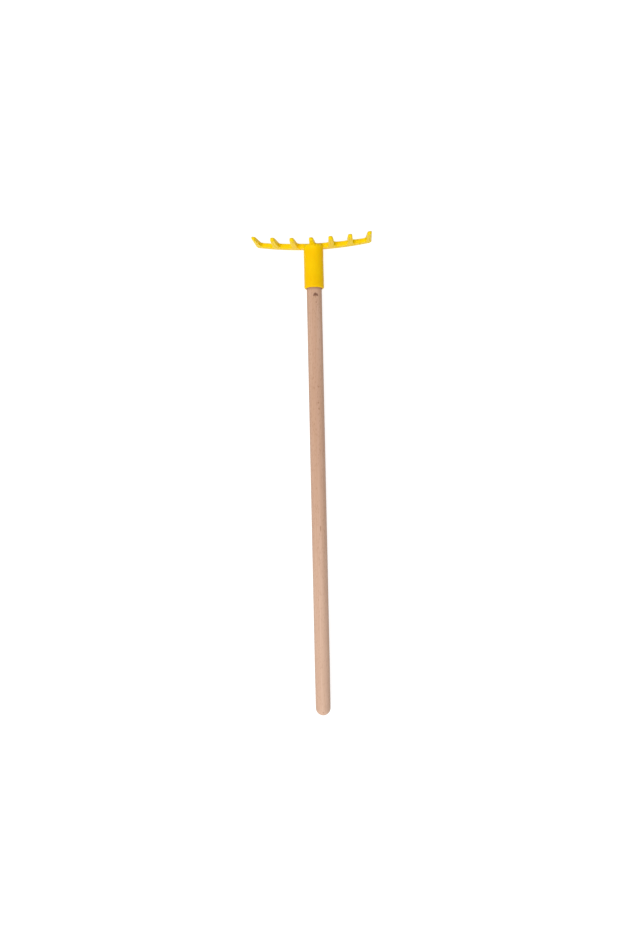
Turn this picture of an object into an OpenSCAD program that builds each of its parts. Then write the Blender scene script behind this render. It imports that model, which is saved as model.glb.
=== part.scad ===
// Sand rake: a one-piece moulded head on a turned wooden dowel, held by one screw from behind.
// It lies on its back with its teeth up. The origin is on the dowel's axis at the socket's mouth,
// +Y runs towards the bar, -Y towards the free end of the dowel, and +Z towards the tooth tips.

/* [Handle] */
// Diameter of the dowel
handle_d = 22; // [16:0.5:30]
// Length of the dowel that shows below the socket
handle_out = 621; // [300:1:1100]
// How far the dowel reaches into the socket
handle_in = 50; // [35:1:70]
// How much thinner the dowel is at its rounded free end, on the diameter
end_slim = 0.5; // [0:0.1:2]
// Length over which the dowel thins towards its free end
end_taper = 74; // [30:1:150]
// How much thinner the dowel is at the bottom of the socket, on the diameter
seat_slim = 1; // [0.2:0.1:2]
// Chamfer on the dowel's inner end
seat_chamfer = 1.5; // [0.5:0.1:3]

/* [Socket] */
// Wall of the socket at its mouth
socket_wall = 3.25; // [2.5:0.05:5]
// Solid stretch between the bottom of the bore and the closed end
end_wall = 12.4; // [8:0.1:16]
// How far the outside of the socket draws in halfway up
socket_waist = 0.15; // [0.05:0.05:0.6]
// Radius of the rounded lip at the mouth
lip_r = 2; // [0.5:0.1:2.4]
// Chamfer inside the mouth, which leads the dowel in
mouth_chamfer = 0.8; // [0.3:0.1:1.5]
// Radius of the rounded edge round the closed end
crown_r = 3; // [1:0.5:6]

/* [Bar] */
// Width of the bar at the socket, measured along the dowel
bar_w = 7.25; // [5:0.05:10]
// Width of the bar at its ends
bar_end_w = 5.6; // [4:0.1:8]
// Depth of the bar from its back to the face that carries the teeth
bar_depth = 11; // [6:0.5:14]
// Height of the tooth face above the dowel's axis
bar_face = 2; // [0.5:0.5:6]
// How far the bar's far edge stands beyond the socket's closed end
bar_proud = 2.75; // [0.5:0.05:5]
// How far the ends of the bar sweep away from the dowel
bar_sweep = 6.1; // [1:0.1:12]
// Radius of the bar's rounded back corners, seen along the dowel
bar_corner_r = 4; // [1:0.5:5]
// Radius of the sweep from the bar's near edge up into its ends, seen from the teeth
bar_end_r = 8; // [2:0.5:12]

/* [Teeth] */
// Number of teeth, an odd number so that one stands over the socket
tooth_count = 7; // [5:2:9]
// Distance from one tooth to the next at the bar
tooth_pitch = 26.8; // [22:0.1:32]
// Height of the middle tooth's tip above the bar's tooth face
tooth_h = 37.5; // [20:0.5:60]
// Width of a tooth at its root, along the bar
root_w = 8.6; // [7:0.1:10]
// Width of a tooth at its tip, along the bar
tip_w = 6.2; // [3:0.1:7]
// Thickness of a tooth at its tip, along the dowel
tip_t = 5.4; // [3:0.1:6]
// How much further out each tooth's tip stands than the tip before it
splay = 0.9; // [0:0.1:2]
// How much lower the outermost tips are than the middle one
tip_drop = 4; // [0:0.5:8]
// Radius of the fillet where a tooth meets the bar
root_fillet = 5; // [1:0.1:7]

/* [Screw] */
// Diameter of the screw's shank
screw_d = 3.5; // [2.5:0.1:4.5]
// Length of the screw with its head
screw_l = 14; // [10:0.5:18]
// Diameter of the countersunk head
screw_head_d = 6.4; // [5:0.1:8]
// Depth of the countersunk head
screw_head_h = 2; // [1.2:0.1:2.5]
// Length of the screw's point
screw_point = 3; // [1:0.5:5]
// Depth of the cross recess in the head
recess_depth = 1.5; // [0.8:0.1:2]
// Width of one arm of the cross recess
recess_w = 0.9; // [0.5:0.1:1.2]
// Length of the cross recess from end to end
recess_l = 3.6; // [2:0.1:4]
// Distance of the screw from the socket's mouth
screw_y = 18; // [10:0.5:28]
// How deep the head sits below the socket's back
screw_sunk = 0.4; // [0.2:0.1:0.8]

/* [Fits] */
// Radial gap between the dowel and the socket
seat_gap = 0.15; // [0.05:0.05:0.3]
// Gap between the dowel's inner end and the bottom of the socket
seat_end_gap = 0.8; // [0.3:0.1:2]
// Radial gap between the screw and the wood
pilot_gap = 0.05; // [0.02:0.01:0.2]
// Radial gap between the screw and the socket's wall
screw_gap = 0.2; // [0.1:0.05:0.4]

/* [Hidden] */
// Steps of a full circle, and of the very large circles that the bar's long edges follow
$fn = 96;
sweep_fn = 1800;
// How far a cut runs past the face that it opens
overrun = 1;
// How much wider than the bar a tooth's taper starts, and how much higher its side outline ends
outline_ease = 0.05;
// How much wider than the bar a tooth's side outline is below its taper
side_room = 0.5;
// How far a rounding's circle crosses a face that it would otherwise only graze
graze_bite = 0.02;

handle_r = handle_d / 2;
end_r = handle_r - end_slim / 2;
seat_end_r = handle_r - seat_slim / 2;

// The bore follows the dowel's seat at the same taper and goes a little deeper.
bore_depth = handle_in + seat_end_gap;
bore_r = handle_r + seat_gap;
bore_end_r = bore_r - seat_slim / 2 * bore_depth / handle_in;
socket_r = bore_r + socket_wall;
socket_top = bore_depth + end_wall;

last_tooth = (tooth_count - 1) / 2;
bar_half = last_tooth * tooth_pitch + root_w / 2;
tip_half = bar_half + last_tooth * splay;
bar_high = socket_top + bar_proud;
bar_low = bar_high - bar_w;
bar_y = bar_high - bar_w / 2;
bar_back = bar_face - bar_depth;
bar_thinning = (bar_w - bar_end_w) / 2;
tip_z = bar_face + tooth_h;

// Height of the screw's head, measured from the socket's outside where the screw goes in
screw_z = screw_sunk - socket_r + socket_waist * screw_y / (socket_top / 2);

// Radius of the arc that rises by this much at the end of the bar
function arc_r(rise) = (bar_half * bar_half + rise * rise) / (2 * rise);

// Distance from the middle of the bar to the inner side of the tooth at this place
function inner_side(place) = max(0, abs(place) * tooth_pitch - root_w / 2);

// Width of the bar at this distance from its middle
function bar_w_at(x) = bar_w - (bar_w - bar_end_w) * pow(x / bar_half, 2);

// Height of the tip of the tooth at this place
function tip_top(place) = tip_z - tip_drop * pow(place / last_tooth, 2);

// Angle by which one flank of the tooth at this place leans in from upright
function flank_lean(place, side) =
    atan((root_w / 2 - tip_w / 2 - side * place * splay) / (tip_top(place) - tip_w / 2 - bar_face));

// Turns a shape that was drawn up the Z axis so that it runs along the dowel
module along_y() {
    rotate([-90, 0, 0]) children();
}

// Turns an outline that was drawn in X and Z into a slab along Y, centred on the origin
module slab_y(thickness) {
    rotate([90, 0, 0]) linear_extrude(thickness, center = true) children();
}

// Turns an outline that was drawn in Y and Z into a slab along X, centred on the origin
module slab_x(thickness) {
    rotate([90, 0, 90]) linear_extrude(thickness, center = true) children();
}

// Carries a tooth that was drawn at the origin to its place on the bar, square to the bar's sweep
module on_bar(place) {
    centre_r = arc_r(bar_sweep);
    translate([0, bar_y + centre_r, 0])
        rotate([0, 0, asin(place * tooth_pitch / centre_r)])
            translate([0, -centre_r, 0]) children();
}

// Half outline of the dowel: radius across, place along the axis
module handle_outline() {
    end_y = end_r - handle_out;
    polygon([
        [0, end_y],
        [end_r, end_y],
        [handle_r, end_taper - handle_out],
        [handle_r, 0],
        [seat_end_r, handle_in - seat_chamfer],
        [seat_end_r - seat_chamfer, handle_in],
        [0, handle_in]
    ]);
    translate([0, end_y]) intersection() {
        circle(r = end_r);
        translate([0, -end_r]) square([end_r, end_r]);
    }
}

// Half outline of the socket's outside, with its rounded lip and rounded crown
module socket_outline() {
    polygon([
        [0, 0],
        [socket_r - lip_r, 0],
        [socket_r - lip_r, lip_r],
        [socket_r, lip_r],
        [socket_r - socket_waist, socket_top / 2],
        [socket_r, socket_top - crown_r],
        [socket_r - crown_r, socket_top - crown_r],
        [socket_r - crown_r, socket_top],
        [0, socket_top]
    ]);
    translate([socket_r - lip_r, lip_r]) intersection() {
        circle(r = lip_r);
        translate([0, -lip_r]) square([lip_r, lip_r]);
    }
    translate([socket_r - crown_r, socket_top - crown_r]) intersection() {
        circle(r = crown_r);
        square([crown_r, crown_r]);
    }
}

// Half outline of the blind, tapered bore with its lead-in
module bore_outline() {
    polygon([
        [0, -overrun],
        [bore_r + mouth_chamfer + overrun, -overrun],
        [bore_r, mouth_chamfer],
        [bore_end_r, bore_depth],
        [0, bore_depth]
    ]);
}

// What rounds the near edge of the bar up into one of its ends, drawn from the near arc's centre
module end_round_cut(low_r) {
    centre_r = low_r - bar_end_r + outline_ease;
    rotate(asin((tip_half - bar_end_r) / centre_r)) translate([0, -centre_r]) difference() {
        translate([0, -bar_end_r - overrun])
            square([bar_end_r + 2 * overrun, bar_end_r + overrun]);
        circle(r = bar_end_r);
    }
}

// The bar seen from the tooth side: a crescent between two arcs, so that it thins outwards
module bar_plan() {
    low_r = arc_r(bar_sweep + bar_thinning);
    high_r = arc_r(bar_sweep - bar_thinning);
    difference() {
        intersection() {
            translate([0, bar_low + low_r]) circle(r = low_r, $fn = sweep_fn);
            translate([-tip_half - overrun, bar_low - overrun])
                square([2 * (tip_half + overrun), bar_w + bar_sweep + 2 * overrun]);
        }
        translate([0, bar_high + high_r]) circle(r = high_r, $fn = sweep_fn);
        for (side = [-1, 1])
            translate([0, bar_low + low_r])
                mirror([side < 0 ? 1 : 0, 0]) end_round_cut(low_r);
    }
}

// The web between a tooth's leaning flank and the bar, hollowed by a circle that touches both
module root_web(side, lean) {
    reach = root_fillet / tan((90 + lean) / 2);
    inward = root_w / 4;
    mirror([side < 0 ? 1 : 0, 0]) difference() {
        polygon([
            [-inward, -overrun],
            [reach, -overrun],
            [reach, root_fillet],
            [-inward, root_fillet - (reach + inward) * tan(lean)]
        ]);
        translate([reach - graze_bite, root_fillet - graze_bite]) circle(r = root_fillet);
    }
}

// What rounds one back corner off the bar
module corner_cut() {
    centre_z = bar_corner_r - graze_bite;
    difference() {
        translate([-overrun, -overrun]) square([overrun + bar_corner_r, overrun + centre_z]);
        translate([bar_corner_r, centre_z]) circle(r = bar_corner_r);
    }
}

// The end of the bar below an outermost tooth, with its rounded back corner
module bar_end(side) {
    mirror([side < 0 ? 1 : 0, 0]) difference() {
        translate([-root_w / 2, bar_back - overrun]) square([root_w, bar_depth + overrun]);
        translate([root_w / 2, bar_back]) mirror([1, 0]) corner_cut();
    }
}

// One tooth seen square on, with a fillet at each side of its root except at the bar's ends
module tooth_front(place) {
    tip_x = place * splay;
    tip_r = tip_w / 2;
    tip_centre_z = tip_top(place) - tip_r;
    polygon([
        [-root_w / 2, bar_face - overrun],
        [root_w / 2, bar_face - overrun],
        [root_w / 2, bar_face],
        [tip_x + tip_r, tip_centre_z],
        [tip_x - tip_r, tip_centre_z],
        [-root_w / 2, bar_face]
    ]);
    translate([tip_x, tip_centre_z]) circle(r = tip_r);
    for (side = [-1, 1]) {
        if (side * place < last_tooth)
            translate([side * root_w / 2, bar_face]) root_web(side, flank_lean(place, side));
        if (side * place == last_tooth) bar_end(side);
    }
}

// One tooth seen from the bar's end: as wide as the bar up to the top of the root fillets, and
// thinning from there to a rounded tip
module tooth_side(place) {
    thin_half = bar_w_at(inner_side(place)) / 2 + outline_ease;
    half = thin_half + side_room;
    tip_r = tip_t / 2;
    tip_centre_z = tip_top(place) + outline_ease - tip_r;
    thin_z = bar_face + root_fillet;
    polygon([
        [-half, bar_back - 2 * overrun],
        [half, bar_back - 2 * overrun],
        [half, thin_z],
        [thin_half, thin_z],
        [tip_r, tip_centre_z],
        [-tip_r, tip_centre_z],
        [-thin_half, thin_z],
        [-half, thin_z]
    ]);
    translate([0, tip_centre_z]) circle(r = tip_r);
}

// One tooth in its place on the bar
module tooth(place) {
    on_bar(place) intersection() {
        slab_y(2 * bar_w) tooth_front(place);
        slab_x(2 * tooth_pitch) tooth_side(place);
    }
}

// Bar and teeth in one: a straight slab and the teeth, cut to the bar's outline seen from above
module comb() {
    reach = last_tooth * tooth_pitch - root_w / 4;
    intersection() {
        union() {
            translate([-reach, bar_low - overrun, bar_back - overrun])
                cube([2 * reach, bar_w + bar_sweep + 2 * overrun, bar_depth + overrun]);
            for (place = [-last_tooth:last_tooth]) tooth(place);
        }
        translate([0, 0, bar_back]) linear_extrude(bar_depth + tooth_h + overrun) bar_plan();
    }
}

// The screw as a turned shape, grown all round by a gap where it is used as a cut
module screw_shape(gap) {
    shank_r = screw_d / 2 + gap;
    cylinder(r1 = screw_head_d / 2 + gap, r2 = shank_r, h = screw_head_h);
    cylinder(r = shank_r, h = screw_l - screw_point);
    translate([0, 0, screw_l - screw_point])
        cylinder(r1 = shank_r, r2 = gap, h = screw_point + gap);
}

// The cut that lets the screw in from the back
module screw_hole(gap) {
    translate([0, screw_y, screw_z]) {
        screw_shape(gap);
        mirror([0, 0, 1]) cylinder(r = screw_head_d / 2 + gap, h = screw_sunk + overrun);
    }
}

module rake_head() {
    color([0.98, 0.78, 0.02]) difference() {
        union() {
            along_y() rotate_extrude() socket_outline();
            comb();
        }
        along_y() rotate_extrude() bore_outline();
        screw_hole(screw_gap);
    }
}

module handle() {
    color([0.8, 0.65, 0.52]) difference() {
        along_y() rotate_extrude() handle_outline();
        screw_hole(pilot_gap);
    }
}

module fixing_screw() {
    color([0.75, 0.75, 0.77]) translate([0, screw_y, screw_z]) difference() {
        screw_shape(0);
        translate([0, 0, recess_depth / 2]) {
            cube([recess_l, recess_w, recess_depth], center = true);
            cube([recess_w, recess_l, recess_depth], center = true);
        }
    }
}

rake_head();
handle();
fixing_screw();
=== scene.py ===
# %% [markdown]
# A long-handled sand rake: a moulded yellow head with seven teeth, a beech dowel pushed into its
# socket, and one screw that holds the two together from the back.
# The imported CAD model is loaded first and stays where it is. It gives the size and place of every
# piece, and all that follows is built around it in metres, in the same frame: the dowel lies along Y
# with its free end at minus Y, the bar lies along X, and the teeth stand up along Z.

import math

import bmesh
import bpy
from mathutils import Matrix, Vector


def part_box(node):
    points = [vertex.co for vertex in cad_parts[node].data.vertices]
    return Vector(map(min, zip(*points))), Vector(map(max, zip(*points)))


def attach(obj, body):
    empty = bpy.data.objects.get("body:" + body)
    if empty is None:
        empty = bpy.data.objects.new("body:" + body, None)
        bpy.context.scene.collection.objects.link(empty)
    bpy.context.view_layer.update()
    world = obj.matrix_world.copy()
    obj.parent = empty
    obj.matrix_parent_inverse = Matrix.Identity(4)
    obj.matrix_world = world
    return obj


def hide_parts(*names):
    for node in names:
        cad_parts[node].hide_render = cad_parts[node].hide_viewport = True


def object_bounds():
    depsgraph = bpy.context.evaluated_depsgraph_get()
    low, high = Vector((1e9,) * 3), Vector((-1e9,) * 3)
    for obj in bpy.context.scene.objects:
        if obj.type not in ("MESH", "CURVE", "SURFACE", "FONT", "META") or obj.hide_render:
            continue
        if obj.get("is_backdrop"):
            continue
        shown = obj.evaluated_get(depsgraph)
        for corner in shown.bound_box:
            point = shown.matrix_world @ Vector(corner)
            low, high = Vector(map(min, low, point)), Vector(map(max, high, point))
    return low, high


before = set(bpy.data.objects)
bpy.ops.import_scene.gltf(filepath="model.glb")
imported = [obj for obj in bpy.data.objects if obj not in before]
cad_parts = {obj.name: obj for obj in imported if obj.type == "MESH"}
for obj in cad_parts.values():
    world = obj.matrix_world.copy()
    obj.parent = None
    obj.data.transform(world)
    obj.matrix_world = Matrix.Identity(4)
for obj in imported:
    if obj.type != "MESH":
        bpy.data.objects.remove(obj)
cad_low, cad_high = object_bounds()
MM = 0.001
print("CAD box in mm:", [round(v / MM, 1) for v in (*cad_low, *cad_high)])

# %% [markdown]
# Blender's operators act on whatever is selected, and the CAD nodes are selected after loading. So
# each step starts by letting go of everything and taking hold of one piece. In edit mode the
# vertices are then picked by where they are, in the way that a box selection is drawn by hand.

# %% Helpers for picking and for finishing a mesh
def take(piece):
    """Leaves only this piece selected and active."""
    bpy.ops.object.select_all(action="DESELECT")
    piece.select_set(True)
    bpy.context.view_layer.objects.active = piece


def start_editing(piece):
    """Goes into edit mode on this piece with nothing picked."""
    take(piece)
    bpy.ops.object.mode_set(mode="EDIT")
    bpy.ops.mesh.select_all(action="DESELECT")


def pick_vertices(piece, wanted):
    """Picks the vertices whose place passes the test, and returns how many there are."""
    mesh = bmesh.from_edit_mesh(piece.data)
    bpy.ops.mesh.select_mode(type="VERT")
    bpy.ops.mesh.select_all(action="DESELECT")
    count = 0
    for vertex in mesh.verts:
        if wanted(vertex.co):
            vertex.select_set(True)
            count += 1
    mesh.select_flush_mode()
    bmesh.update_edit_mesh(piece.data)
    return count


def open_edges(piece):
    """How many edges of the mesh don't have exactly two faces. A closed skin has none."""
    mesh = bmesh.new()
    mesh.from_mesh(piece.data)
    count = sum(len(edge.link_faces) != 2 for edge in mesh.edges)
    mesh.free()
    return count


def report(piece):
    """Prints how large and how dense a finished piece is."""
    size = [round(side / MM, 2) for side in piece.dimensions]
    faces = len(piece.data.polygons)
    print(piece.name, "size in mm", size, "faces", faces, "open edges", open_edges(piece))


# %% [markdown]
# Two of the three pieces are turned shapes: the dowel comes off a dowel machine and the screw off an
# automatic lathe. Both can be drawn as half an outline and spun round an axis. A lone vertex is
# extruded from point to point, as one would click an outline, and the spin closes it into a skin.

# %% Helper for turned pieces
TURN_STEPS = 96
MERGE_REACH = 0.002 * MM


def turned(name, outline, axis, centre=(0, 0, 0)):
    """Extrudes one vertex along an outline, a list of points, and spins it about the axis."""
    bpy.ops.object.select_all(action="DESELECT")
    bpy.ops.mesh.primitive_plane_add(size=MM, location=(0, 0, 0))
    piece = bpy.context.object
    piece.name = name
    piece.data.name = name
    bpy.ops.object.mode_set(mode="EDIT")
    bpy.ops.mesh.select_all(action="SELECT")
    bpy.ops.mesh.merge(type="CENTER")
    bpy.ops.transform.translate(value=outline[0])
    for start, end in zip(outline, outline[1:]):
        step = Vector(end) - Vector(start)
        bpy.ops.mesh.extrude_region_move(TRANSFORM_OT_translate={"value": step})
    bpy.ops.mesh.select_all(action="SELECT")
    bpy.ops.mesh.spin(steps=TURN_STEPS, angle=math.tau, center=centre, axis=axis)
    bpy.ops.mesh.select_all(action="SELECT")
    bpy.ops.mesh.remove_doubles(threshold=MERGE_REACH)
    bpy.ops.mesh.normals_make_consistent(inside=False)
    bpy.ops.object.mode_set(mode="OBJECT")
    return piece


# %% [markdown]
# Holes are drilled into the wood and the cross is pressed into the screw. Both are made here with a
# second solid that is taken away by a Boolean modifier, which keeps the skin closed. The shading is
# then smoothed everywhere but across real corners, so that a turned face looks round.

# %% Helpers for cutting and for smooth shading
def cut_away(piece, cutter):
    """Takes the cutter's volume out of the piece and removes the cutter."""
    take(piece)
    cut = piece.modifiers.new("cut", "BOOLEAN")
    cut.operation = "DIFFERENCE"
    cut.solver = "EXACT"
    cut.object = cutter
    bpy.ops.object.modifier_apply(modifier=cut.name)
    bpy.data.objects.remove(cutter)


def soften_shading(piece, angle):
    """Smooths the shading except across edges sharper than the angle, in degrees."""
    take(piece)
    bpy.ops.object.shade_smooth_by_angle(angle=math.radians(angle))


# %% [markdown]
# The head is one injection moulding. On the real toy nothing on it is truly sharp: plastic shrinks
# away from the corners of the mould, the tool maker rounds every edge by about a millimetre, and the
# teeth flow out of the bar. The CAD head has the right sizes and the large fillets, but sharp edges.
# It could be built again from boxes and a cylinder, but that would only copy what the CAD already
# holds. So the head starts as a copy of the CAD head, whose loose triangles are merged into one skin.

# %% Copy the head out of the CAD frame
cad_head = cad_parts["rake_head"]
head = bpy.data.objects.new("head_moulding", cad_head.data.copy())
bpy.context.scene.collection.objects.link(head)
head.data.materials.clear()
start_editing(head)
bpy.ops.mesh.select_all(action="SELECT")
bpy.ops.mesh.remove_doubles(threshold=MERGE_REACH)
bpy.ops.mesh.normals_make_consistent(inside=False)
bpy.ops.object.mode_set(mode="OBJECT")
report(head)

# %% [markdown]
# A Bevel modifier is the usual way to round edges, but where fillets, tapered teeth and a cylinder
# meet, its faces can fold over each other. Here a voxel remesh lays an even net of very small squares
# over the skin, and a Smooth modifier moves each point towards its neighbours. That rounds every
# edge by the same small amount and leaves the broad faces where they are.

# %% Round every edge of the head
VOXEL = 0.25 * MM
RELAX_STEPS = 42
RELAX_SHARE = 0.5
take(head)
net = head.modifiers.new("net", "REMESH")
net.mode = "VOXEL"
net.voxel_size = VOXEL
net.use_smooth_shade = True
bpy.ops.object.modifier_apply(modifier=net.name)
relax = head.modifiers.new("relax", "SMOOTH")
relax.factor = RELAX_SHARE
relax.iterations = RELAX_STEPS
bpy.ops.object.modifier_apply(modifier=relax.name)
report(head)

# %% [markdown]
# The tips of the teeth are blunter than the other edges, so that a child can't be hurt, and the
# crown of the socket flows softly into the bar. More relaxing everywhere would also thin the teeth.
# So a second Smooth modifier works through a vertex group: the weight says how strongly a point
# takes part, and it grows in bands towards the tips, so that no step shows where it begins.

# %% Relax the tips and the crown further
SOFT_BANDS = ((27 * MM, 0.2), (29 * MM, 0.45), (31 * MM, 0.7), (33 * MM, 1.0))
SOFT_STEPS = 130
CROWN_HALF = 15 * MM
CROWN_FROM = 57 * MM
CROWN_ABOVE = 0.5 * MM
CROWN_BELOW = 16 * MM


def give_weight(piece, weight, wanted):
    """Gives the vertices that pass the test a weight in the piece's vertex group."""
    picked = pick_vertices(piece, wanted)
    bpy.context.scene.tool_settings.vertex_group_weight = weight
    bpy.ops.object.vertex_group_assign()
    print("weight", weight, "on", picked, "vertices")


def on_crown(spot):
    """Whether a place lies on the socket's rounded end, above the bar."""
    over_bar = abs(spot.x) < CROWN_HALF and spot.y > CROWN_FROM
    return over_bar and CROWN_ABOVE < spot.z < CROWN_BELOW


head.vertex_groups.new(name="softer")
start_editing(head)
for band_low, band_weight in SOFT_BANDS:
    give_weight(head, band_weight, lambda spot: spot.z > band_low)
give_weight(head, 1.0, on_crown)
bpy.ops.object.mode_set(mode="OBJECT")
soften = head.modifiers.new("soften", "SMOOTH")
soften.factor = RELAX_SHARE
soften.iterations = SOFT_STEPS
soften.vertex_group = "softer"
bpy.ops.object.modifier_apply(modifier=soften.name)
bpy.ops.object.vertex_group_remove(all=True)

# %% [markdown]
# The net now has hundreds of thousands of squares, most of them on flat faces that don't need them.
# A Decimate modifier merges points where the skin is flattest, so the rounded edges keep theirs. A
# coarser remesh would be quicker, but it leaves small steps along every slanted edge.

# %% Thin out the net and finish the head
TRIANGLES_WANTED = 150000
thin_out = head.modifiers.new("thin_out", "DECIMATE")
triangles_now = 2 * len(head.data.polygons)
thin_out.ratio = TRIANGLES_WANTED / triangles_now
bpy.ops.object.modifier_apply(modifier=thin_out.name)
bpy.ops.object.shade_smooth()
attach(head, "root")
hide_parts("rake_head")
report(head)

# %% [markdown]
# The handle is a beech dowel. Its outside is drawn from the tip of the rounded free end, round that
# end, along the slightly thinner last stretch and the straight shaft, and up the tapered seat that
# is driven into the socket. A cylinder primitive with bevels would also do, but the rounded end is
# a full half ball, and an outline gives that and the taper in one go.

# %% Read the dowel's sizes from the CAD box
shaft_low, shaft_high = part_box("handle")
shaft_r = shaft_high.x
free_end_y = shaft_low.y
seat_y = shaft_high.y
END_THINNING = 0.25 * MM
TAPER_LENGTH = 74 * MM
SEAT_THINNING = 0.5 * MM
SEAT_CHAMFER = 1.5 * MM
BALL_STEPS = 16
ball_r = shaft_r - END_THINNING
ball_y = free_end_y + ball_r
print("dowel radius in mm", round(shaft_r / MM, 2), "free end at", round(free_end_y / MM, 1))

# %% [markdown]
# The outline is a list of points from the tip of the ball to the far end of the seat. The shaft
# keeps its full width up to 74 mm from the tip and thins very slightly from there, as it does in the
# photograph. The seat has a small chamfer, which helps the dowel into the socket.

# %% Turn the dowel
dowel_outline = []
for step in range(BALL_STEPS + 1):
    angle = math.radians(90) * step / BALL_STEPS
    dowel_outline.append((ball_r * math.sin(angle), ball_y - ball_r * math.cos(angle), 0))
seat_r = shaft_r - SEAT_THINNING
dowel_outline += [
    (shaft_r, free_end_y + TAPER_LENGTH, 0),
    (shaft_r, 0, 0),
    (seat_r, seat_y - SEAT_CHAMFER, 0),
    (seat_r - SEAT_CHAMFER, seat_y, 0),
    (0, seat_y, 0),
]
dowel = turned("beech_dowel", dowel_outline, axis=(0, 1, 0))
report(dowel)

# %% [markdown]
# The screw goes into the dowel from below, through the socket's wall. A pilot hole is cut for it
# with a plain cylinder, a hair wider than the shank, as one would drill it before driving the screw.
# The wood could simply be left whole, since the hole doesn't show, but then wood and steel would
# fill the same space.

# %% Drill the pilot hole and finish the dowel
screw_low, screw_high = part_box("fixing_screw")
screw_y = (screw_low.y + screw_high.y) / 2
screw_head_r = screw_high.x
SHANK_R = 1.75 * MM
PILOT_GAP = 0.05 * MM
PILOT_SIDES = 48
DOWEL_CORNER = 35
hole_depth = screw_high.z - screw_low.z + 2 * PILOT_GAP
bpy.ops.object.select_all(action="DESELECT")
bpy.ops.mesh.primitive_cylinder_add(
    vertices=PILOT_SIDES,
    radius=SHANK_R + PILOT_GAP,
    depth=hole_depth,
    location=(0, screw_y, screw_low.z + hole_depth / 2),
)
drill = bpy.context.object
cut_away(dowel, drill)
soften_shading(dowel, DOWEL_CORNER)
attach(dowel, "root")
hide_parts("handle")
report(dowel)

# %% [markdown]
# The screw is a countersunk one with a cross recess. Only its head shows, sunk a little below the
# socket's back. It is turned from an outline with small rounds at the rim, and the cross is cut out
# with two narrow boxes. Its tip is a cone, and the shank is left plain, because it is hidden in wood.

# %% Turn the screw and cut its cross
HEAD_DEPTH = 2 * MM
POINT_LENGTH = 3 * MM
RIM = 0.12 * MM
RECESS_LENGTH = 3.6 * MM
RECESS_WIDTH = 0.9 * MM
RECESS_DEPTH = 1.5 * MM
SCREW_CORNER = 30
base_z = screw_low.z
screw_outline = [
    (0, screw_y, base_z),
    (screw_head_r - RIM, screw_y, base_z),
    (screw_head_r, screw_y, base_z + RIM),
    (SHANK_R, screw_y, base_z + HEAD_DEPTH),
    (SHANK_R, screw_y, screw_high.z - POINT_LENGTH),
    (0, screw_y, screw_high.z),
]
screw = turned("fixing_screw_body", screw_outline, axis=(0, 0, 1), centre=(0, screw_y, 0))
for width, length in ((RECESS_WIDTH, RECESS_LENGTH), (RECESS_LENGTH, RECESS_WIDTH)):
    bpy.ops.object.select_all(action="DESELECT")
    bpy.ops.mesh.primitive_cube_add(size=1, location=(0, screw_y, base_z))
    slot_tool = bpy.context.object
    slot_tool.dimensions = (width, length, 2 * RECESS_DEPTH)
    take(slot_tool)
    bpy.ops.object.transform_apply(location=True, rotation=True, scale=True)
    cut_away(screw, slot_tool)
soften_shading(screw, SCREW_CORNER)
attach(screw, "root")
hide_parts("fixing_screw")
report(screw)

# %% [markdown]
# Every finish is a small network of shader nodes. It could be drawn by hand in the shader editor.
# These helpers add a node and wire it, so that the cells below read like the recipe of the finish.
# Colours are given as they look on a screen, from 0 to 255, and turned into the linear values that
# the shader mixes with.

# %% Helpers for adding and wiring nodes
def screen_colour(red, green, blue):
    """A colour as read off a screen, turned into linear values with full alpha."""
    linear = []
    for value in (red, green, blue):
        share = value / 255
        linear.append(share / 12.92 if share <= 0.04045 else ((share + 0.055) / 1.055) ** 2.4)
    return (*linear, 1.0)


def add_node(tree, kind, settings=None, values=None):
    """Adds a shader node, sets its options, and sets the sockets that are named or numbered."""
    made = tree.nodes.new(kind)
    for name, value in (settings or {}).items():
        setattr(made, name, value)
    for name, value in (values or {}).items():
        made.inputs[name].default_value = value
    return made


def wire(tree, source, target):
    """Joins an output socket to an input socket."""
    tree.links.new(source, target)


# %% [markdown]
# Most of a recipe is made of a few steps: a sum, a mask that rises between two values, and a mix of
# two colours. Each is one node with its inputs filled in, either with a number or with a wire from
# an earlier node.

# %% Helpers for sums, masks and mixes
def calculate(tree, operation, *terms):
    """A Math node. Each term is a number or an output socket."""
    made = add_node(tree, "ShaderNodeMath", {"operation": operation})
    for place, term in enumerate(terms):
        if isinstance(term, (int, float)):
            made.inputs[place].default_value = term
        else:
            wire(tree, term, made.inputs[place])
    return made.outputs[0]


def ramp(tree, source, low, high):
    """A mask that goes smoothly from 0 at the low value to 1 at the high one."""
    made = add_node(
        tree,
        "ShaderNodeMapRange",
        {"interpolation_type": "SMOOTHSTEP"},
        {"From Min": low, "From Max": high, "To Min": 0.0, "To Max": 1.0},
    )
    wire(tree, source, made.inputs["Value"])
    return made.outputs["Result"]


def blend_colours(tree, share, first, second):
    """Mixes two colours by a share. Each may be a fixed colour or an output socket."""
    made = add_node(tree, "ShaderNodeMix", {"data_type": "RGBA"})
    for socket, term in (("Factor_Float", share), ("A_Color", first), ("B_Color", second)):
        target = next(s for s in made.inputs if s.identifier == socket)
        if isinstance(term, (int, float, tuple)):
            target.default_value = term
        else:
            wire(tree, term, target)
    return next(s for s in made.outputs if s.identifier == "Result_Color")


def distance_from(tree, place, spot):
    """How far each place is from a fixed spot."""
    made = add_node(tree, "ShaderNodeVectorMath", {"operation": "DISTANCE"}, {1: spot})
    wire(tree, place, made.inputs[0])
    return made.outputs["Value"]


def along_axes(tree, place):
    """The X, Y and Z of each place, as three outputs."""
    made = add_node(tree, "ShaderNodeSeparateXYZ")
    wire(tree, place, made.inputs[0])
    return made.outputs


# %% [markdown]
# Each finish is a Principled shader, which covers plastic, wood and metal alike, and a bump gives
# it the texture that is too small to model. After a finish is built, its name and the number of its
# nodes are printed.

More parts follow.
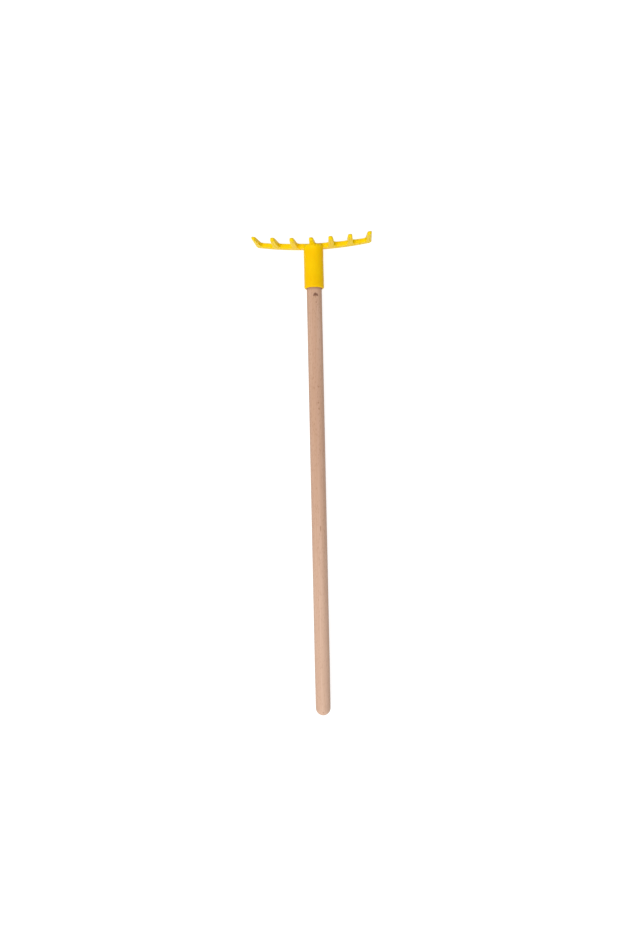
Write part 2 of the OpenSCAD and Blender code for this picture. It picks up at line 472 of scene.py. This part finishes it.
# %% Helpers for starting and finishing a material
def new_material(name):
    """An empty material with its Principled shader already joined to the output."""
    material = bpy.data.materials.new(name)
    material.use_nodes = True
    tree = material.node_tree
    tree.nodes.clear()
    output = add_node(tree, "ShaderNodeOutputMaterial")
    shader = add_node(tree, "ShaderNodeBsdfPrincipled")
    wire(tree, shader.outputs[0], output.inputs["Surface"])
    return material, tree, shader


def bump(tree, shader, height, strength, distance):
    """Feeds a height into the shader's normal."""
    made = add_node(tree, "ShaderNodeBump", values={"Strength": strength, "Distance": distance})
    wire(tree, height, made.inputs["Height"])
    wire(tree, made.outputs[0], shader.inputs["Normal"])


def finish_with(piece, material):
    """Puts the material on the piece and says so."""
    piece.data.materials.append(material)
    print(piece.name, "has", material.name, "with", len(material.node_tree.nodes), "nodes")


# %% [markdown]
# All three finishes need the same thing somewhere: a soft pattern of a given grain that stretches
# along one direction, such as scuffs in plastic, fibres in wood or polishing marks in steel. It
# could be built anew in each material, but a node group is built once and keeps them alike. Its
# inputs are the place on the piece, how many waves per metre the pattern has across and along, and
# between which noise values the mask rises. Its output is that mask.

# %% The stretched pattern that all finishes share
stretched = bpy.data.node_groups.new("stretched_pattern", "ShaderNodeTree")
START_VALUES = (("Across", 100.0), ("Along", 10.0), ("Low", 0.35), ("High", 0.65))
for socket_name, start_value in START_VALUES:
    made = stretched.interface.new_socket(socket_name, in_out="INPUT", socket_type="NodeSocketFloat")
    made.default_value = start_value
stretched.interface.new_socket("Place", in_out="INPUT", socket_type="NodeSocketVector")
stretched.interface.new_socket("Mask", in_out="OUTPUT", socket_type="NodeSocketFloat")
group_in = add_node(stretched, "NodeGroupInput")
group_out = add_node(stretched, "NodeGroupOutput")
scales = add_node(stretched, "ShaderNodeCombineXYZ")
wire(stretched, group_in.outputs["Across"], scales.inputs["X"])
wire(stretched, group_in.outputs["Along"], scales.inputs["Y"])
wire(stretched, group_in.outputs["Across"], scales.inputs["Z"])
sized = add_node(stretched, "ShaderNodeVectorMath", {"operation": "MULTIPLY"})
wire(stretched, group_in.outputs["Place"], sized.inputs[0])
wire(stretched, scales.outputs[0], sized.inputs[1])
CLOUD = {"Scale": 1.0, "Detail": 4.0, "Roughness": 0.55}
cloud = add_node(stretched, "ShaderNodeTexNoise", values=CLOUD)
wire(stretched, sized.outputs[0], cloud.inputs["Vector"])
window = add_node(stretched, "ShaderNodeMapRange", {"interpolation_type": "SMOOTHSTEP"})
wire(stretched, cloud.outputs["Fac"], window.inputs["Value"])
wire(stretched, group_in.outputs["Low"], window.inputs["From Min"])
wire(stretched, group_in.outputs["High"], window.inputs["From Max"])
wire(stretched, window.outputs["Result"], group_out.inputs["Mask"])
print("shared group", stretched.name, "with", len(stretched.nodes), "nodes")


def pattern(tree, place, across, along, low=0.35, high=0.65):
    """Places the shared pattern in a material and returns its mask."""
    made = add_node(tree, "ShaderNodeGroup", {"node_tree": stretched})
    sockets = (("Across", across), ("Along", along), ("Low", low), ("High", high))
    for socket_name, value in sockets:
        made.inputs[socket_name].default_value = value
    wire(tree, place, made.inputs["Place"])
    return made.outputs["Mask"]


# %% [markdown]
# The plastic is a strong warm yellow with a low satin sheen. One flat colour would look painted.
# Moulded plastic isn't quite even: its colour drifts slightly between two yellows. The bar and teeth
# are also painted a touch lighter than the socket: painted light that lifts the shade the teeth
# throw on the bar. Light also spreads below the skin for a few millimetres, red and green further
# than blue, which softens the shading.

# %% Yellow plastic, its colour
DRIFT = {"across": 28, "along": 28, "low": 0.3, "high": 0.7}
BAR_LIGHT_FROM = 50 * MM
BAR_LIGHT_TO = 62 * MM
lit_yellow = screen_colour(252, 203, 4)
deep_yellow = screen_colour(249, 195, 2)
# Painted light: a lighter yellow for the bar and teeth, to lift the shade between the teeth.
painted_light_yellow = screen_colour(255, 213, 10)
plastic, tree, shader = new_material("yellow_plastic_satin")
place = add_node(tree, "ShaderNodeTexCoord").outputs["Object"]
parts = along_axes(tree, place)
tone = blend_colours(tree, pattern(tree, place, **DRIFT), deep_yellow, lit_yellow)
# Painted light: the colour turns to the lighter yellow along Y, from the socket towards the bar.
painted_light_on_bar = ramp(tree, parts["Y"], BAR_LIGHT_FROM, BAR_LIGHT_TO)
tone = blend_colours(tree, painted_light_on_bar, tone, painted_light_yellow)
shader.inputs["Specular IOR Level"].default_value = 0.05
shader.inputs["Subsurface Weight"].default_value = 0.4
shader.inputs["Subsurface Radius"].default_value = (1.0, 0.9, 0.12)
shader.inputs["Subsurface Scale"].default_value = 3 * MM
print("colours of the plastic, linear:", [round(v, 3) for v in (*lit_yellow[:3], *painted_light_yellow[:3])])

# %% [markdown]
# The tool is polished, but the plastic shrinks a little unevenly and handling leaves faint scuffs,
# so the sheen wavers. The same pattern, much finer, roughens the skin. A faint raised line runs
# along both sides of the socket, where the two halves of the mould met. Both are too small to
# model, so they are heights for the bump.

# %% Yellow plastic, its skin and the line of the mould
SCUFFS = {"across": 420, "along": 420, "low": 0.52, "high": 0.72}
SKIN = {"across": 2400, "along": 2400}
PLAIN_ROUGHNESS = 0.34
SCUFF_ROUGHNESS = 0.1
SKIN_HEIGHT = 0.25
LINE_HEIGHT = 1.5
LINE_HALF = 0.18 * MM
LINE_FROM_X = 13.5 * MM
LINE_TO_X = 15 * MM
scuffs = pattern(tree, place, **SCUFFS)
rough = calculate(tree, "MULTIPLY_ADD", scuffs, SCUFF_ROUGHNESS, PLAIN_ROUGHNESS)
wire(tree, rough, shader.inputs["Roughness"])
side = calculate(tree, "ABSOLUTE", parts["X"])
on_side = calculate(tree, "GREATER_THAN", side, LINE_FROM_X)
inside_bar = calculate(tree, "LESS_THAN", side, LINE_TO_X)
near_line = ramp(tree, calculate(tree, "ABSOLUTE", parts["Z"]), LINE_HALF, 0.0)
line = calculate(tree, "MULTIPLY", near_line, calculate(tree, "MULTIPLY", on_side, inside_bar))
skin_height = calculate(tree, "MULTIPLY", pattern(tree, place, **SKIN), SKIN_HEIGHT)
height = calculate(tree, "MULTIPLY_ADD", line, LINE_HEIGHT, skin_height)
print("line of the mould, width in mm:", round(2 * LINE_HALF / MM, 2))

# %% [markdown]
# Pins push the head out of the mould and leave shallow round marks on its back. Each could be cut
# into the mesh, but they are only a few hundredths of a millimetre deep. Three places are given,
# and reading X without its sign repeats them on the other side. A thin darker rim goes with each.

# %% Yellow plastic, the marks of the pins
PIN_MARKS = ((40.2, 64.0), (67.0, 66.3), (0.0, 40.0))
PIN_MARK_R = 2.5 * MM
PIN_MARK_INNER = (2.5 - 0.35) * MM
PIN_MARK_HEIGHT = -6.0
BACK_BELOW = -8 * MM
RIM_HALF = 0.3 * MM
RIM_CORE = 0.08 * MM
RIM_SHARE = 0.3
rim_yellow = screen_colour(178, 128, 4)
mirrored = add_node(tree, "ShaderNodeCombineXYZ")
wire(tree, side, mirrored.inputs["X"])
wire(tree, parts["Y"], mirrored.inputs["Y"])
marks = 0.0
rims = 0.0
for mark_x, mark_y in PIN_MARKS:
    from_mark = distance_from(tree, mirrored.outputs[0], (mark_x * MM, mark_y * MM, 0))
    marks = calculate(tree, "MAXIMUM", ramp(tree, from_mark, PIN_MARK_R, PIN_MARK_INNER), marks)
    off_rim = calculate(tree, "ABSOLUTE", calculate(tree, "SUBTRACT", from_mark, PIN_MARK_R))
    rims = calculate(tree, "MAXIMUM", ramp(tree, off_rim, RIM_HALF, RIM_CORE), rims)
on_back = calculate(tree, "LESS_THAN", parts["Z"], BACK_BELOW)
rim_share = calculate(tree, "MULTIPLY", calculate(tree, "MULTIPLY", rims, on_back), RIM_SHARE)
tone = blend_colours(tree, rim_share, tone, rim_yellow)
wire(tree, tone, shader.inputs["Base Color"])
marks_on_back = calculate(tree, "MULTIPLY", marks, on_back)
height = calculate(tree, "MULTIPLY_ADD", marks_on_back, PIN_MARK_HEIGHT, height)
bump(tree, shader, height, 0.25, 0.05 * MM)
finish_with(head, plastic)

# %% [markdown]
# Beech is pale pinkish brown with a fine, straight grain. A photograph of wood wrapped round the
# dowel would show a seam and would smear on the rounded end. So the grain is worked out in the space
# of the piece, as if it were turned from a plank. Growth rings run round a pith outside the dowel:
# they show as long soft arches on its skin and as curved lines on its end. Fibres run along it as
# narrow streaks, and the tone drifts in broad bands.

# %% Beech, its rings and fibres
PITH_X = -31 * MM
PITH_Z = -47 * MM
RING_WIDTH = 2.6 * MM
RING_WANDER = 9 * MM
RING_LOW = -0.6
RING_HIGH = 1.0
WANDER = {"across": 22, "along": 2.2, "low": 0.0, "high": 1.0}
STREAKS = {"across": 620, "along": 8}
FIBRES = {"across": 2300, "along": 45}
BROAD = {"across": 120, "along": 3.5, "low": 0.3, "high": 0.7}
beech, tree, shader = new_material("beech_sanded")
place = add_node(tree, "ShaderNodeTexCoord").outputs["Object"]
parts = along_axes(tree, place)
from_pith_x = calculate(tree, "SUBTRACT", parts["X"], PITH_X)
from_pith_z = calculate(tree, "SUBTRACT", parts["Z"], PITH_Z)
square_x = calculate(tree, "POWER", from_pith_x, 2.0)
square_z = calculate(tree, "POWER", from_pith_z, 2.0)
from_pith = calculate(tree, "SQRT", calculate(tree, "ADD", square_x, square_z))
wander = calculate(tree, "MULTIPLY", pattern(tree, place, **WANDER), RING_WANDER)
ring_place = calculate(tree, "DIVIDE", calculate(tree, "ADD", from_pith, wander), RING_WIDTH)
ring_wave = calculate(tree, "SINE", calculate(tree, "MULTIPLY", ring_place, math.tau))
rings = ramp(tree, ring_wave, RING_LOW, RING_HIGH)
streaks = pattern(tree, place, **STREAKS)
fibres = pattern(tree, place, **FIBRES)
broad = pattern(tree, place, **BROAD)
print("rings across the dowel:", round(2 * shaft_r / RING_WIDTH, 1))

# %% [markdown]
# What tells beech from other pale woods are its rays: short dark flecks, each a few tenths of a
# millimetre wide and some millimetres long. Noise would give them ragged outlines. A Voronoi
# texture gives each a middle and a distance from it, and when its cells are stretched along the
# dowel, the dots become flecks. A second, coarser set gives the few larger ones.

# %% Beech, its flecks
RAY_SCALE = (820.0, 130.0, 820.0)
RAY_EDGE = 0.3
RAY_CORE = 0.14
DOT_SCALE = (105.0, 19.0, 105.0)
DOT_EDGE = 0.11
DOT_CORE = 0.05


def flecks(tree, place, scale, edge, core):
    """Stretched dots: a mask that is 1 in the middle of each Voronoi cell."""
    sized = add_node(tree, "ShaderNodeVectorMath", {"operation": "MULTIPLY"}, {1: scale})
    wire(tree, place, sized.inputs[0])
    cells = add_node(tree, "ShaderNodeTexVoronoi", values={"Scale": 1.0})
    wire(tree, sized.outputs[0], cells.inputs["Vector"])
    return ramp(tree, cells.outputs["Distance"], edge, core)


rays = flecks(tree, place, RAY_SCALE, RAY_EDGE, RAY_CORE)
dots = flecks(tree, place, DOT_SCALE, DOT_EDGE, DOT_CORE)
print("rays about", round(1000 / RAY_SCALE[1], 1), "mm apart along the dowel")

# %% [markdown]
# A small knot sits just below the socket: a dark arch, open towards the free end, where a twig was
# cut through. It is a ball of dark wood cut off by a curved sill, and the streaks roughen its edge.
# Further down come four pin knots, which are soft round spots on the skin. Their places are given
# one by one, because chance never puts a knot where it is wanted.

# %% Beech, its knot and pin knots
KNOT_PLACE = (2.8 * MM, -11.9 * MM, 10.6 * MM)
KNOT_HALF = (3.5 * MM, 4.0 * MM, 3.5 * MM)
KNOT_RAGGED = 0.2
KNOT_EDGE = 1.25
KNOT_CORE = 0.9
SILL_CURVE = 110.0
SILL_FROM = -0.6 * MM
SILL_TO = 0.5 * MM
PIN_KNOTS = ((3.5, -21.5), (4.1, -143.8), (3.6, -166.9), (4.2, -175.6))
PIN_KNOT_R = 1.5 * MM
knot_offset = add_node(tree, "ShaderNodeVectorMath", {"operation": "SUBTRACT"}, {1: KNOT_PLACE})
wire(tree, place, knot_offset.inputs[0])
knot_shape = add_node(tree, "ShaderNodeVectorMath", {"operation": "DIVIDE"}, {1: KNOT_HALF})
wire(tree, knot_offset.outputs[0], knot_shape.inputs[0])
knot_distance = add_node(tree, "ShaderNodeVectorMath", {"operation": "LENGTH"})
wire(tree, knot_shape.outputs[0], knot_distance.inputs[0])
knot_edge = calculate(tree, "MULTIPLY_ADD", streaks, KNOT_RAGGED, knot_distance.outputs["Value"])
knot_parts = along_axes(tree, knot_offset.outputs[0])
sill = calculate(tree, "POWER", knot_parts["X"], 2.0)
sill = calculate(tree, "MULTIPLY_ADD", sill, SILL_CURVE, knot_parts["Y"])
above_sill = ramp(tree, sill, SILL_FROM, SILL_TO)
knot = calculate(tree, "MULTIPLY", ramp(tree, knot_edge, KNOT_EDGE, KNOT_CORE), above_sill)
pins = 0.0
for pin_x, pin_y in PIN_KNOTS:
    pin_z = math.sqrt(shaft_r**2 - (pin_x * MM) ** 2)
    from_pin = distance_from(tree, place, (pin_x * MM, pin_y * MM, pin_z))
    pins = calculate(tree, "MAXIMUM", ramp(tree, from_pin, PIN_KNOT_R, 0.3 * PIN_KNOT_R), pins)
print("knot", round(-KNOT_PLACE[1] / MM, 1), "mm from the socket, pin knots:", len(PIN_KNOTS))

# %% [markdown]
# Two things change along the dowel. The wood is darker in a narrow ring at the mouth of the socket,
# in the shade of its rim, and it grows paler towards the free end, where more light falls. The soft
# light of this scene gives some of both, but less, so both are painted into the colour, each with a
# mask that rises smoothly along Y: painted shade at the mouth, painted light towards the free end.

# %% Beech, its darker ring at the socket and its paler end
RING_DARK_FROM = -4.2 * MM
RING_DARK_TO = -0.4 * MM
PALER_FROM = -230 * MM
PALER_TO = -560 * MM
# Painted shade in a ring at the mouth, and painted light towards the free end.
mouth_shade = ramp(tree, parts["Y"], RING_DARK_FROM, RING_DARK_TO)
painted_light_end = ramp(tree, parts["Y"], PALER_FROM, PALER_TO)
print("darker ring, length in mm:", round((RING_DARK_TO - RING_DARK_FROM) / MM, 1))

# %% [markdown]
# The masks are now laid over each other like thin coats of glaze. Each coat has its own strength
# and colour, and later ones lie on top, so the knot hides the grain and the ring at the mouth lies
# over all. The wood is sanded but not varnished, so it is dull, and the fibres and rays can just be
# felt.

# %% Beech, mixed together
FIBRE_ROUGHNESS = 0.12
PLAIN_WOOD_ROUGHNESS = 0.55
pale_wood = screen_colour(217, 181, 156)
warm_wood = screen_colour(200, 160, 132)
pink_wood = screen_colour(208, 167, 147)
fleck_brown = screen_colour(158, 112, 82)
knot_brown = screen_colour(112, 74, 57)
painted_light_wood = screen_colour(232, 202, 180)
shade_brown = screen_colour(128, 86, 42)
coats = (
    (streaks, 0.4, pink_wood),
    (rings, 0.42, warm_wood),
    (fibres, 0.2, fleck_brown),
    (rays, 0.55, fleck_brown),
    (dots, 0.7, fleck_brown),
    (pins, 0.75, fleck_brown),
    # Painted light towards the free end.
    (painted_light_end, 0.25, painted_light_wood),
    (knot, 0.85, knot_brown),
    # Painted shade in the ring at the mouth of the socket.
    (mouth_shade, 0.4, shade_brown),
)
tone = blend_colours(tree, broad, warm_wood, pale_wood)
for mask, strength, colour in coats:
    tone = blend_colours(tree, calculate(tree, "MULTIPLY", mask, strength), tone, colour)
wire(tree, tone, shader.inputs["Base Color"])
rough = calculate(tree, "MULTIPLY_ADD", fibres, FIBRE_ROUGHNESS, PLAIN_WOOD_ROUGHNESS)
wire(tree, rough, shader.inputs["Roughness"])
bump(tree, shader, calculate(tree, "SUBTRACT", fibres, rays), 0.3, 0.06 * MM)
shader.inputs["Specular IOR Level"].default_value = 0.3
finish_with(dowel, beech)

# %% [markdown]
# The screw is zinc-plated steel: bright, slightly blue and not quite smooth. A plain metal shader
# would show it as a mirror. On the real one polishing marks run across the head, and the plating
# dulls in patches, so both colour and roughness change over it.

# %% Zinc-plated steel
POLISH_MARKS = {"across": 2600, "along": 260}
DULL_PATCHES = {"across": 700, "along": 700}
MARK_ROUGHNESS = 0.14
PLAIN_STEEL_ROUGHNESS = 0.26
dull_zinc = screen_colour(196, 199, 205)
bright_zinc = screen_colour(214, 216, 220)
zinc, tree, shader = new_material("zinc_plate")
place = add_node(tree, "ShaderNodeTexCoord").outputs["Object"]
polish = pattern(tree, place, **POLISH_MARKS)
patches = pattern(tree, place, **DULL_PATCHES)
wire(tree, blend_colours(tree, patches, dull_zinc, bright_zinc), shader.inputs["Base Color"])
rough = calculate(tree, "MULTIPLY_ADD", polish, MARK_ROUGHNESS, PLAIN_STEEL_ROUGHNESS)
wire(tree, rough, shader.inputs["Roughness"])
bump(tree, shader, polish, 0.15, 0.02 * MM)
shader.inputs["Metallic"].default_value = 1.0
finish_with(screw, zinc)

# %% [markdown]
# The rake was photographed on white. A brightly lit white floor would give that, but it would also
# throw too much light back on the rake. So the floor and the world look different to different
# rays. This helper marks the rays that look straight at something: those from the camera, those
# mirrored by a shiny surface and those that pass through a clear one.

# %% Helper for what the camera sees
def looks_straight(tree):
    """A mask that is 1 for camera, glossy and transmission rays."""
    rays_seen = add_node(tree, "ShaderNodeLightPath").outputs
    direct = calculate(tree, "MAXIMUM", rays_seen["Is Camera Ray"], rays_seen["Is Glossy Ray"])
    return calculate(tree, "MAXIMUM", direct, rays_seen["Is Transmission Ray"])


def two_shaders(tree, kind, first, second, share=None):
    """Adds up two shaders, or mixes them by a share."""
    made = add_node(tree, kind)
    inputs = list(made.inputs)
    wire(tree, first.outputs[0], inputs[-2])
    wire(tree, second.outputs[0], inputs[-1])
    if share is not None:
        wire(tree, share, inputs[0])
    return made


# %% [markdown]
# A level floor carries the rake at the height of the socket's lowest line. Seen straight, it glows
# nearly white by itself, with a little real diffuse light added, so that the soft shadow under the
# rake stays. For all other rays it is a grey paper that also glows a little: it throws light back
# up, also into the narrow gap below the dowel, which would otherwise turn black. From below it is
# clear, so that the rake's back and its screw can be looked at.

# %% Floor
FLOOR_SIDE = 14
SEEN_GLOW = 0.84
SEEN_PAPER = (0.32, 0.32, 0.32, 1)
BOUNCE_GLOW = 0.26
BOUNCE_PAPER = (0.42, 0.42, 0.42, 1)
bpy.ops.object.select_all(action="DESELECT")
bpy.ops.mesh.primitive_plane_add(size=FLOOR_SIDE, location=(0, 0, cad_low.z))
floor = bpy.context.object
floor.name = "floor"
floor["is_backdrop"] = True
paper = bpy.data.materials.new("white_paper")
paper.use_nodes = True
tree = paper.node_tree
tree.nodes.clear()
output = add_node(tree, "ShaderNodeOutputMaterial")
bounce_paper = add_node(tree, "ShaderNodeBsdfDiffuse", values={"Color": BOUNCE_PAPER})
bounce_glow = add_node(tree, "ShaderNodeEmission", values={"Strength": BOUNCE_GLOW})
bounce = two_shaders(tree, "ShaderNodeAddShader", bounce_paper, bounce_glow)
seen_paper = add_node(tree, "ShaderNodeBsdfDiffuse", values={"Color": SEEN_PAPER})
seen_glow = add_node(tree, "ShaderNodeEmission", values={"Strength": SEEN_GLOW})
seen = two_shaders(tree, "ShaderNodeAddShader", seen_paper, seen_glow)
direct = looks_straight(tree)
top = two_shaders(tree, "ShaderNodeMixShader", bounce, seen, direct)
below = add_node(tree, "ShaderNodeNewGeometry").outputs["Backfacing"]
clear = add_node(tree, "ShaderNodeBsdfTransparent")
clear_share = calculate(tree, "MULTIPLY", below, direct)
sides = two_shaders(tree, "ShaderNodeMixShader", top, clear, clear_share)
wire(tree, sides.outputs[0], output.inputs["Surface"])
floor.data.materials.append(paper)
print("floor at", round(cad_low.z / MM, 1), "mm")

# %% [markdown]
# The world stands for the white walls and ceiling of a studio. Walls could be built, but a world
# does the same without corners. It is white where it is looked at straight, and about half as
# bright where it only lights the rake, because the lamp gives the other half.

# %% World
WORLD_FILL = 0.47
world = bpy.data.worlds.new("white_room")
bpy.context.scene.world = world
world.use_nodes = True
tree = world.node_tree
tree.nodes.clear()
output = add_node(tree, "ShaderNodeOutputWorld")
background = add_node(tree, "ShaderNodeBackground", values={"Color": (1, 1, 1, 1)})
brightness = calculate(tree, "MULTIPLY_ADD", looks_straight(tree), 1 - WORLD_FILL, WORLD_FILL)
wire(tree, brightness, background.inputs["Strength"])
wire(tree, background.outputs[0], output.inputs["Surface"])
print("light from the room:", WORLD_FILL)

# %% [markdown]
# One large soft lamp hangs high to the left of the rake and beyond its free end. That is where the
# light in the photograph comes from: the socket is brightest left of its middle, its right rim is
# darker, and the near faces of the teeth are as light as the bar. A small lamp close by would do for
# the head alone. This one is as wide as a window and seven metres away, so that the light is nearly
# the same from the free end to the head and the teeth throw only soft shadows on the bar.

# %% Lamp
LAMP_PLACE = Vector((-1.9, -3.2, 6.2))
LAMP_SIDE = 5.5
LAMP_POWER = 392
rake_middle = Vector((0, (cad_low.y + cad_high.y) / 2, 0))
lamp_data = bpy.data.lights.new("soft_lamp", "AREA")
lamp_data.size = LAMP_SIDE
lamp_data.energy = LAMP_POWER
lamp = bpy.data.objects.new("soft_lamp", lamp_data)
bpy.context.scene.collection.objects.link(lamp)
lamp.location = LAMP_PLACE
lamp.rotation_euler = (rake_middle - LAMP_PLACE).to_track_quat("-Z", "Y").to_euler()
lamp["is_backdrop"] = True
print("lamp at", round((LAMP_PLACE - rake_middle).length, 2), "m")

# %% [markdown]
# The camera looks down on the rake from about 1.2 metres. It could be aimed by eye until the picture
# looks right. Its place was instead found by fitting a camera with perspective to the outline of
# the rake in the photograph: it is turned a few degrees about the dowel, and the picture is turned
# by a little more than one degree. The lens follows from how many pixels a millimetre takes up.

# %% Camera
CAMERA_DISTANCE = 1200 * MM
CAMERA_TURN = math.radians(5.5)
CAMERA_ROLL = math.radians(1.23)
AIM = Vector((-11.0 * MM, -257.2 * MM, 0))
PIXELS_PER_MM = 0.686
IMAGE_HEIGHT = 931
SENSOR = 36
CLIP_NEAR = 0.01
CLIP_FAR = 50
camera_right = Vector((math.cos(CAMERA_TURN), 0, -math.sin(CAMERA_TURN)))
camera_up = Vector((0, 1, 0))
camera_back = Vector((math.sin(CAMERA_TURN), 0, math.cos(CAMERA_TURN)))
image_right = math.cos(CAMERA_ROLL) * camera_right - math.sin(CAMERA_ROLL) * camera_up
image_up = math.sin(CAMERA_ROLL) * camera_right + math.cos(CAMERA_ROLL) * camera_up
camera_data = bpy.data.cameras.new("camera")
camera_data.sensor_width = SENSOR
camera_data.lens = PIXELS_PER_MM * CAMERA_DISTANCE / MM * SENSOR / IMAGE_HEIGHT
camera_data.clip_start = CLIP_NEAR
camera_data.clip_end = CLIP_FAR
camera = bpy.data.objects.new("camera", camera_data)
bpy.context.scene.collection.objects.link(camera)
turn = Matrix((image_right, image_up, camera_back)).transposed().to_4x4()
camera.matrix_world = Matrix.Translation(AIM + camera_back * CAMERA_DISTANCE) @ turn
bpy.context.scene.camera = camera
bpy.context.scene.view_settings.view_transform = "Standard"
print("lens in mm", round(camera_data.lens, 2))

# %% [markdown]
# The last step measures the box of the finished pieces and prints how far it reaches past the box of
# the CAD model, so that one can see that nothing has grown past its real size.

# %% Compare the boxes and finish
visual_low, visual_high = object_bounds()
grown = [round(max(c - v, 0) / MM, 3) for c, v in zip(cad_low, visual_low)]
grown += [round(max(v - c, 0) / MM, 3) for c, v in zip(cad_high, visual_high)]
print("outside the CAD box in mm:", grown)
